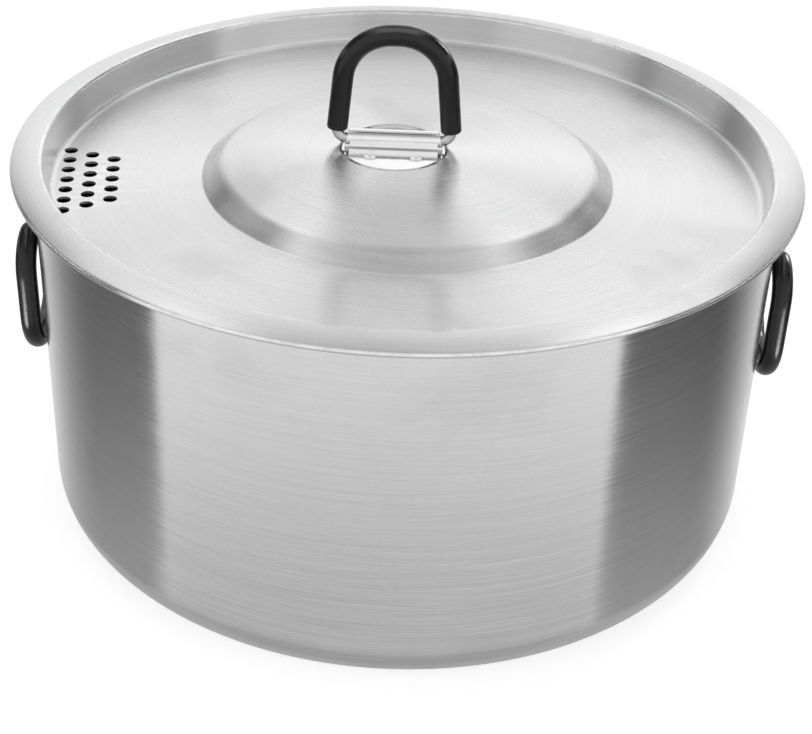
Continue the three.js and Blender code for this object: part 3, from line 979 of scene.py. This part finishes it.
class POT_OT_lid(bpy.types.Operator):
    """Build the pressed lid with its dome, recess, rolled edge and strainer holes"""

    bl_idname = "camping_pot.lid"
    bl_label = "Strainer Lid"

    def execute(self, context):
        settings = context.scene.camping_pot
        lid = settings.lid
        shape = LidShape(settings.pot, lid)

        def fill(mesh):
            turned(mesh, self.face(lid, shape), lid.sheet)
            for vertex in mesh.verts:
                away = smoothstep(vertex.co.xy.length, shape.recess_edge, shape.shoulder_radius)
                vertex.co.x += lid.recess_shift * (1 - away)

        piece = add_piece("lid_pressing", fill, settings, "lid_steel", "lid", "lid_shell")
        holes = piece.modifiers.new("strainer_holes", "NODES")
        holes.node_group = strainer_tree()
        set_inputs(
            holes, Hole_Diameter=lid.hole_diameter, Hole_Pitch=lid.hole_pitch, Row_Step=lid.hole_row_step,
            First_Row=shape.tray_foot_radius - lid.hole_edge, Azimuth=lid.hole_azimuth,
            Floor_Height=shape.tray_floor - lid.sheet / 2, Finish=material_for("lid_steel", settings),
        )
        settle(piece, holes)
        return {"FINISHED"}

    def face(self, lid, shape):
        """The lid's upper face, from the axis to the end of the rolled edge."""
        slope = lid.flange_slope
        tilt = math.pi / 2 - slope
        curl_z = (shape.flange_top - shape.flange_bend * (1 - math.cos(slope))
                  - lid.curl_radius * math.cos(slope))
        pressed = bent_path([
            bend(0, shape.recess_floor),
            bend(shape.recess_floor_radius, shape.recess_floor, lid.recess_bend),
            bend(shape.recess_edge, shape.crown, lid.recess_bend),
            *shape.crown_line(lid),
            bend(shape.shoulder_radius, shape.shoulder_top, lid.shoulder_bend),
            bend(lid.dome_radius, shape.tray_floor, lid.dome_foot_radius),
            bend(shape.tray_foot_radius, shape.tray_floor, lid.tray_foot_radius),
            bend(shape.tray_top_radius, shape.flange_top, lid.tray_lip_radius),
            bend(shape.flange_start, shape.flange_top),
        ])
        flange = arc((shape.flange_start, shape.flange_top - shape.flange_bend), shape.flange_bend,
                     math.pi / 2, tilt, BEND_FACETS)
        edge = arc((shape.radius - lid.curl_radius, curl_z), lid.curl_radius, tilt,
                   tilt - lid.curl_sweep, CURL_FACETS)
        return [*pressed, *flange[1:], *edge[1:]]


class POT_OT_lid_clip(bpy.types.Operator):
    """Build the saddle that holds the lid handle, with its two spot welds"""

    bl_idname = "camping_pot.lid_clip"
    bl_label = "Lid Handle Clip"

    def execute(self, context):
        settings = context.scene.camping_pot
        sizes = settings.handles
        shape = LidShape(settings.pot, settings.lid)
        pivot = joint_place("lid_handle_fold")
        base = shape.recess_floor + sizes.clip_seat_gap
        axis_height = pivot.z - base
        hump = hump_radius(sizes)
        reach = shape.recess_floor_radius - sizes.lid_edge_gap
        front = reach + sizes.lid_pivot_back - hump
        section = hat_section(sizes, front, sizes.lid_rear_flange, axis_height)

        def half_width(point):
            rise = point.y / (axis_height + hump)
            on_hump = sizes.lid_hump_foot + (sizes.lid_hump_top - sizes.lid_hump_foot) * rise
            away = smoothstep(abs(point.x), hump, hump + 2 * sizes.clip_bend)
            width = on_hump + (sizes.lid_flange_width - on_hump) * away
            from_centre = point.x + sizes.lid_pivot_back
            chord = math.sqrt(max(reach**2 - from_centre**2, (CLIP_TIP * reach) ** 2))
            return min(width / 2, chord)

        def place(across, along, rise):
            return Vector((pivot.x + across, pivot.y + along, base + rise))

        dents = [(side * sizes.lid_dent_spacing / 2, -sizes.lid_dent_offset) for side in (-1, 1)]
        add_piece(
            "lid_clip_pressing", lambda mesh: saddle_mesh(mesh, sizes, section, half_width, dents, place),
            settings, "clip_steel", "lid", "lid_handle_clip",
        )
        return {"FINISHED"}


class POT_OT_side_clips(bpy.types.Operator):
    """Build the two saddles that hold the side handles on the wall"""

    bl_idname = "camping_pot.side_clips"
    bl_label = "Side Handle Clips"

    def execute(self, context):
        settings = context.scene.camping_pot
        for side, sign in SIDES.items():
            self.clip(settings, side, sign)
        return {"FINISHED"}

    def clip(self, settings, side, sign):
        sizes = settings.handles
        pivot = joint_place(f"{side}_handle_lift")
        face_radius = settings.pot.inner_diameter / 2 + settings.pot.sheet + sizes.clip_seat_gap
        axis_height = abs(pivot.x) - face_radius
        section = hat_section(sizes, sizes.side_flange, sizes.side_flange, axis_height)

        def half_width(_):
            return sizes.side_clip_width / 2

        def place(across, along, rise):
            on_wall = 1 - smoothstep(rise, sizes.clip_sheet, axis_height)
            hollow = on_wall * (face_radius - math.sqrt(face_radius**2 - across**2))
            return Vector((sign * (face_radius + rise - hollow), sign * across, pivot.z + along))

        aside = sizes.side_dent_spacing / 2
        middle = hump_radius(sizes) + sizes.side_flange / 2
        dents = [(s * aside, level * middle) for s in (-1, 1) for level in (-1, 1)]
        add_piece(
            f"{side}_clip_pressing",
            lambda mesh: saddle_mesh(mesh, sizes, section, half_width, dents, place),
            settings, "clip_steel", "pot", f"{side}_handle_clip",
        )


class POT_OT_wires(bpy.types.Operator):
    """Build the three handle wires"""

    bl_idname = "camping_pot.wires"
    bl_label = "Handle Wires"

    def execute(self, context):
        settings = context.scene.camping_pot
        sizes = settings.handles
        for handle, route in handle_loops(sizes, sizes.wire_end_gap / 2).items():
            add_piece(
                f"{handle}_wire_loop",
                lambda mesh: wire_mesh(mesh, route, sizes.wire_diameter / 2, sizes.wire_chamfer),
                settings, "wire_steel", f"{handle}_handle", f"{handle}_handle_wire",
            )
        return {"FINISHED"}


class POT_OT_sleeves(bpy.types.Operator):
    """Build the black sleeves on the three handles"""

    bl_idname = "camping_pot.sleeves"
    bl_label = "Handle Sleeves"

    def execute(self, context):
        settings = context.scene.camping_pot
        sizes = settings.handles
        start = sizes.side_clip_width / 2 + sizes.side_end_gap
        bore = sizes.wire_diameter / 2 + sizes.sleeve_clearance
        for handle, route in handle_loops(sizes, start, sizes.lid_sleeve_foot).items():
            add_piece(
                f"{handle}_sleeve_tube",
                lambda mesh: sleeve_mesh(mesh, route, sizes.sleeve_diameter / 2, bore, sizes.sleeve_lip),
                settings, "black_sleeve", f"{handle}_handle", f"{handle}_handle_sleeve",
            )
        return {"FINISHED"}


class POT_OT_stage(bpy.types.Operator):
    """Set up the pale floor, the studio light and the camera"""

    bl_idname = "camping_pot.stage"
    bl_label = "Stage"

    def execute(self, context):
        stage = context.scene.camping_pot.stage
        self.floor(context, stage)
        self.light(context)
        self.sleeve_cards(context)
        self.camera(context, stage)
        context.scene.view_settings.view_transform = "Standard"
        return {"FINISHED"}

    def floor(self, context, stage):
        mesh = bmesh.new()
        bmesh.ops.create_grid(mesh, x_segments=FLOOR_SQUARES, y_segments=FLOOR_SQUARES, size=FLOOR_REACH)
        data = bpy.data.meshes.new("studio_floor")
        mesh.to_mesh(data)
        mesh.free()
        floor = bpy.data.objects.new("studio_floor", data)
        context.scene.collection.objects.link(floor)
        material, _, shader = new_material("studio_floor_look")
        shader.inputs["Base Color"].default_value = (*stage.floor, 1)
        shader.inputs["Roughness"].default_value = FLOOR_ROUGHNESS
        shader.inputs["Emission Color"].default_value = (1, 1, 1, 1)
        shader.inputs["Emission Strength"].default_value = FLOOR_GLOW
        data.materials.append(material)
        floor.visible_glossy = False

    def light(self, context):
        """A wrap of white panels with dark gaps beside the backdrop, which itself is plain white."""
        world = bpy.data.worlds.new("studio_panels")
        context.scene.world = world
        world.use_nodes = True
        tree = world.node_tree
        x, y, z = axes_of(tree, tree.nodes.new("ShaderNodeTexCoord").outputs["Generated"])
        azimuth = x.math("ARCTAN2", y * -1.0).math("DEGREES")
        leftwards = azimuth * -1.0
        height = z.math("ARCSINE").math("DEGREES")

        beyond_front = azimuth.rise(*FRONT_RIGHT) + leftwards.rise(*FRONT_LEFT)
        in_front = beyond_front.rest()
        back = azimuth.rise(*BACK_RIGHT) + leftwards.rise(*BACK_LEFT)
        darkness = marked(0.95, (height.rise(*GAP_FOOT), -0.06), (height.rise(*GAP_TOP), -0.8), (x, 0.02))
        patches = [
            (azimuth.band(*around) * height.band(*above), strength)
            for around, above, strength in PATCHES.values()
        ]
        panels = marked(
            1.12,
            (beyond_front, -0.07),
            (x * back, 0.27),
            ((beyond_front - back) * darkness, -1.0),
            (in_front * height.rise(*FRONT_FOOT), -0.22),
            (in_front * height.rise(*FRONT_TOP), -0.22),
            (back * height.rise(*BACK_TOP), -0.22),
            (height.rise(*OVERHEAD), -0.32),
            *patches,
        )
        ground = marked(0.45, (beyond_front, 0.06))
        above_floor = height.rise(*FLOOR_LINE)
        strength = panels * above_floor + ground * above_floor.rest()
        seen = Field(tree, tree.nodes.new("ShaderNodeLightPath").outputs["Is Camera Ray"])
        background = tree.nodes["Background"]
        background.inputs["Color"].default_value = (1, 1, 1, 1)
        plug(tree, strength * seen.rest() + seen * BACKDROP_WHITE, background.inputs["Strength"])

    def sleeve_cards(self, context):
        """Small cards of light that only the black sleeves see."""
        sleeves = bpy.data.collections.new("black_sleeves")
        for handle in HANDLES:
            sleeves.objects.link(bpy.data.objects[f"{handle}_sleeve_tube"])
        for name, place, aim, size, brightness in SLEEVE_CARDS:
            light = bpy.data.lights.new(name, "AREA")
            light.size = size
            light.energy = brightness * math.pi * size * size
            card = bpy.data.objects.new(name, light)
            card.location = place
            card.rotation_euler = (card.location - Vector(aim)).to_track_quat("Z", "Y").to_euler()
            card.visible_camera = False
            card.light_linking.receiver_collection = sleeves
            context.scene.collection.objects.link(card)

    def camera(self, context, stage):
        data = bpy.data.cameras.new("photo_camera")
        data.lens = stage.camera_lens
        data.sensor_width = SENSOR_WIDTH
        camera = bpy.data.objects.new("photo_camera", data)
        context.scene.collection.objects.link(camera)
        camera.location = (
            stage.camera_distance * math.sin(stage.camera_azimuth),
            -stage.camera_distance * math.cos(stage.camera_azimuth),
            stage.camera_height,
        )
        turn = (
            Matrix.Rotation(stage.camera_azimuth - stage.camera_yaw, 3, "Z")
            @ Matrix.Rotation(math.pi / 2 - stage.camera_pitch, 3, "X")
            @ Matrix.Rotation(stage.camera_roll, 3, "Z")
        )
        camera.rotation_euler = turn.to_euler()
        context.scene.camera = camera


BUILD_STEPS = (
    POT_OT_body,
    POT_OT_lid,
    POT_OT_lid_clip,
    POT_OT_side_clips,
    POT_OT_wires,
    POT_OT_sleeves,
    POT_OT_stage,
)


class POT_PT_panel(bpy.types.Panel):
    """Build steps of the camping pot"""

    bl_idname = "POT_PT_panel"
    bl_label = "Camping Pot"
    bl_space_type = "VIEW_3D"
    bl_region_type = "UI"
    bl_category = "Camping Pot"

    def draw(self, context):
        settings = context.scene.camping_pot
        for step in BUILD_STEPS:
            self.layout.operator(step.bl_idname)
        for name in ("pot", "lid", "handles", "finishes", "stage"):
            group = getattr(settings, name)
            box = self.layout.box()
            box.label(text=name.title())
            for field in group.__annotations__:
                box.prop(group, field)


CLASSES = (
    PotSizes, LidSizes, HandleSizes, Finishes, StageSettings, CampingPot, *BUILD_STEPS, POT_PT_panel,
)


def register():
    for cls in CLASSES:
        bpy.utils.register_class(cls)
    bpy.types.Scene.camping_pot = PointerProperty(type=CampingPot)


def unregister():
    del bpy.types.Scene.camping_pot
    for cls in reversed(CLASSES):
        bpy.utils.unregister_class(cls)


def main():
    register()
    for step in BUILD_STEPS:
        group, name = step.bl_idname.split(".")
        getattr(getattr(bpy.ops, group), name)()


if __name__ == "__main__":
    main()
